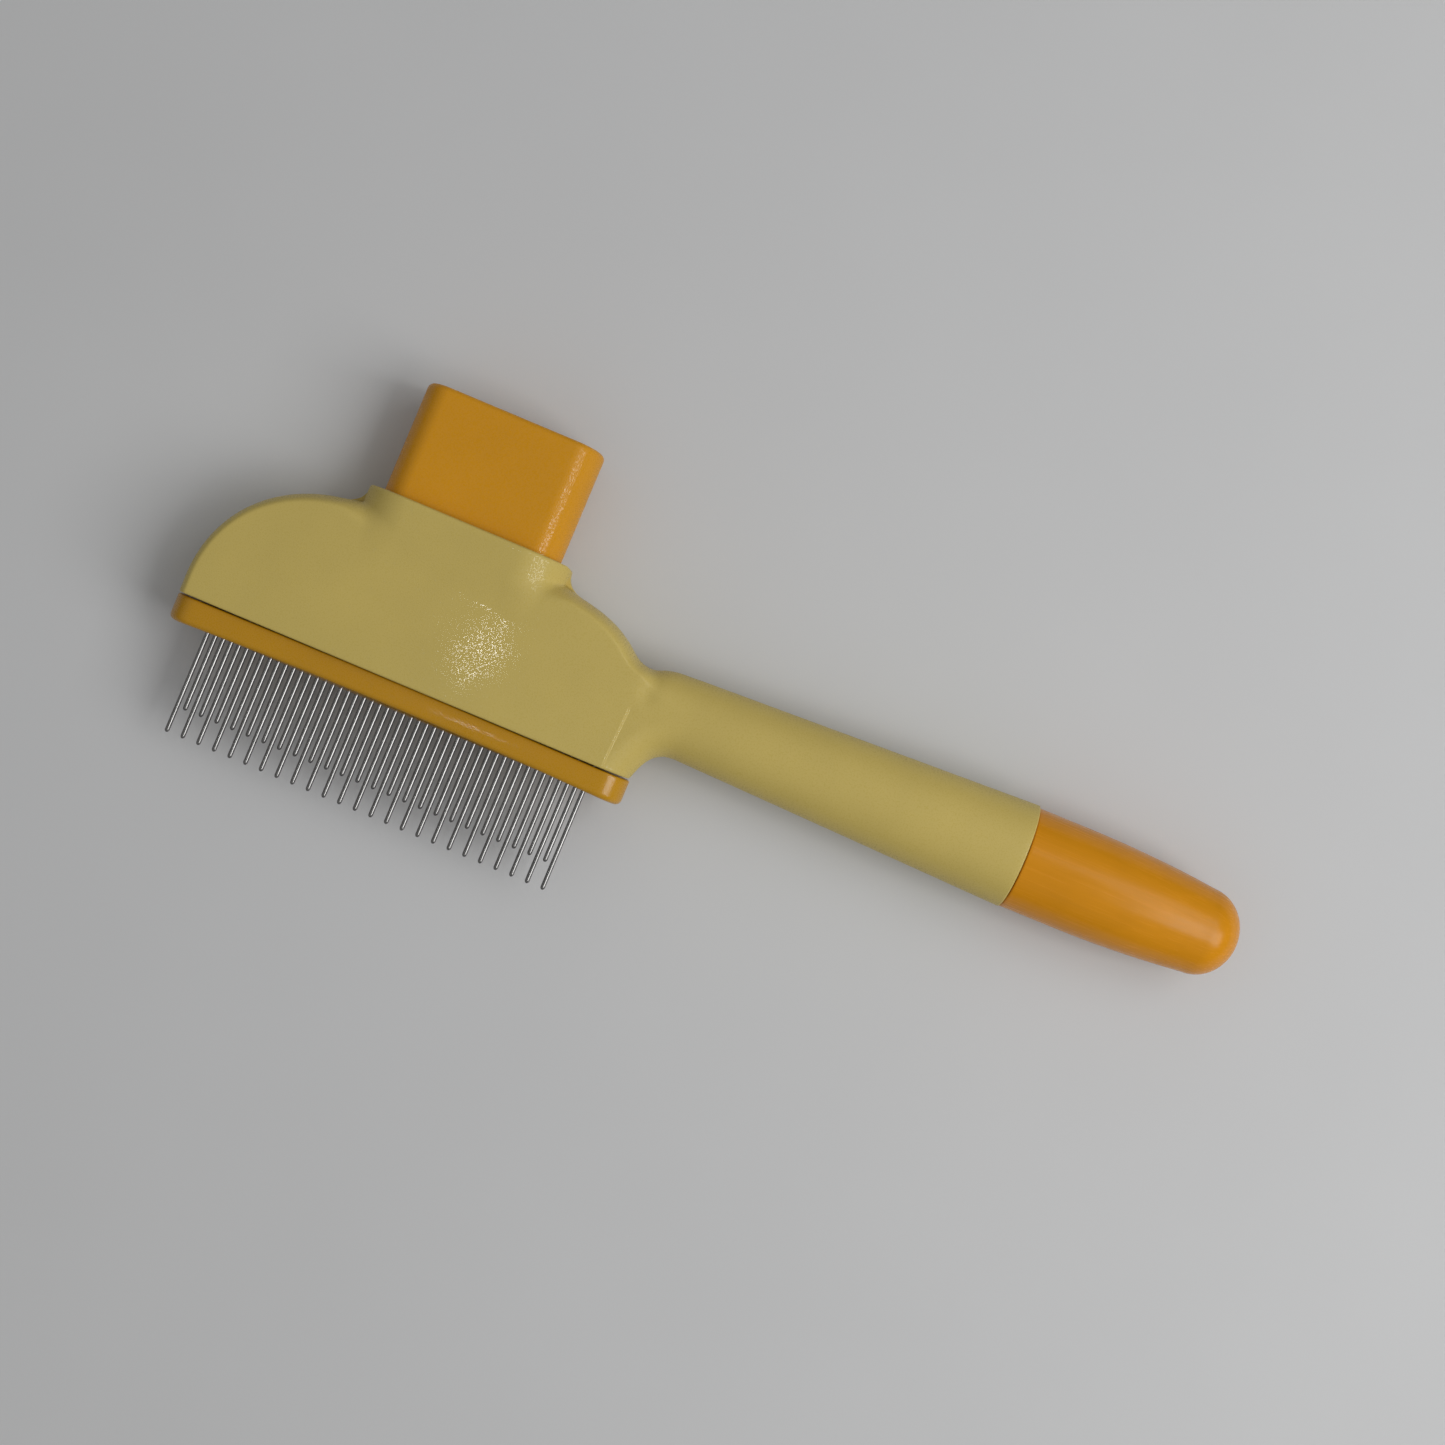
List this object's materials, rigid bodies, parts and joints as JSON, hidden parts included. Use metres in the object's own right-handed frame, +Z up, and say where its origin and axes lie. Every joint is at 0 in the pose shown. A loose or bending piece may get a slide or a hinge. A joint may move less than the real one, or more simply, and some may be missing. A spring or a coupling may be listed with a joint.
{
  "type": "deshedding comb",
  "caption": "Pet deshedding comb: a row of steel pins on a wide head with a round handle, and a thumb button that pushes a bar down the pins to strip the hair off.",
  "frame": {"origin": "on the surface the tool lies on, under the middle of its bounding box", "axes": "+X along the handle towards its cap, +Y from the pins to the button, +Z up out of the head's front face"},
  "size_m": [0.2195, 0.084, 0.0215],
  "materials": {
    "pale_plastic": "fine-grained moulded plastic, pale yellow",
    "button_plastic": "fine-grained moulded plastic, orange",
    "bar_plastic": "smooth moulded plastic, orange",
    "cap_plastic": "satin moulded plastic, orange",
    "inner_plastic": "plain moulded plastic, inside the head",
    "pin_steel": "polished stainless steel wire",
    "spring_steel": "spring wire"
  },
  "bodies": {
    "housing": {"front_shell": "pale_plastic", "rear_shell": "pale_plastic", "pin_carrier": "inner_plastic", "end_cap": "cap_plastic", "return_spring_left": "spring_steel", "return_spring_right": "spring_steel", "long_pin_01": "pin_steel", "long_pin_02": "pin_steel", "long_pin_03": "pin_steel", "long_pin_04": "pin_steel", "long_pin_05": "pin_steel", "long_pin_06": "pin_steel", "long_pin_07": "pin_steel", "long_pin_08": "pin_steel", "long_pin_09": "pin_steel", "long_pin_10": "pin_steel", "long_pin_11": "pin_steel", "long_pin_12": "pin_steel", "long_pin_13": "pin_steel", "long_pin_14": "pin_steel", "long_pin_15": "pin_steel", "long_pin_16": "pin_steel", "long_pin_17": "pin_steel", "long_pin_18": "pin_steel", "long_pin_19": "pin_steel", "long_pin_20": "pin_steel", "long_pin_21": "pin_steel", "long_pin_22": "pin_steel", "long_pin_23": "pin_steel", "long_pin_24": "pin_steel", "long_pin_25": "pin_steel", "short_pin_01": "pin_steel", "short_pin_02": "pin_steel", "short_pin_03": "pin_steel", "short_pin_04": "pin_steel", "short_pin_05": "pin_steel", "short_pin_06": "pin_steel", "short_pin_07": "pin_steel", "short_pin_08": "pin_steel", "short_pin_09": "pin_steel", "short_pin_10": "pin_steel", "short_pin_11": "pin_steel", "short_pin_12": "pin_steel", "short_pin_13": "pin_steel", "short_pin_14": "pin_steel", "short_pin_15": "pin_steel", "short_pin_16": "pin_steel", "short_pin_17": "pin_steel", "short_pin_18": "pin_steel", "short_pin_19": "pin_steel", "short_pin_20": "pin_steel", "short_pin_21": "pin_steel", "short_pin_22": "pin_steel", "short_pin_23": "pin_steel", "short_pin_24": "pin_steel"},
    "ejector": {"push_button": "button_plastic", "push_frame": "button_plastic", "stripper_bar": "bar_plastic"}
  },
  "joints": [
    {"name": "button_press", "type": "slide", "parent": "housing", "child": "ejector", "axis": [0, -1, 0], "range_m": [0, 0.018], "stiffness_N_per_m": 300, "springref_m": -0.01, "deforming": ["return_spring_left", "return_spring_right"]}
  ]
}
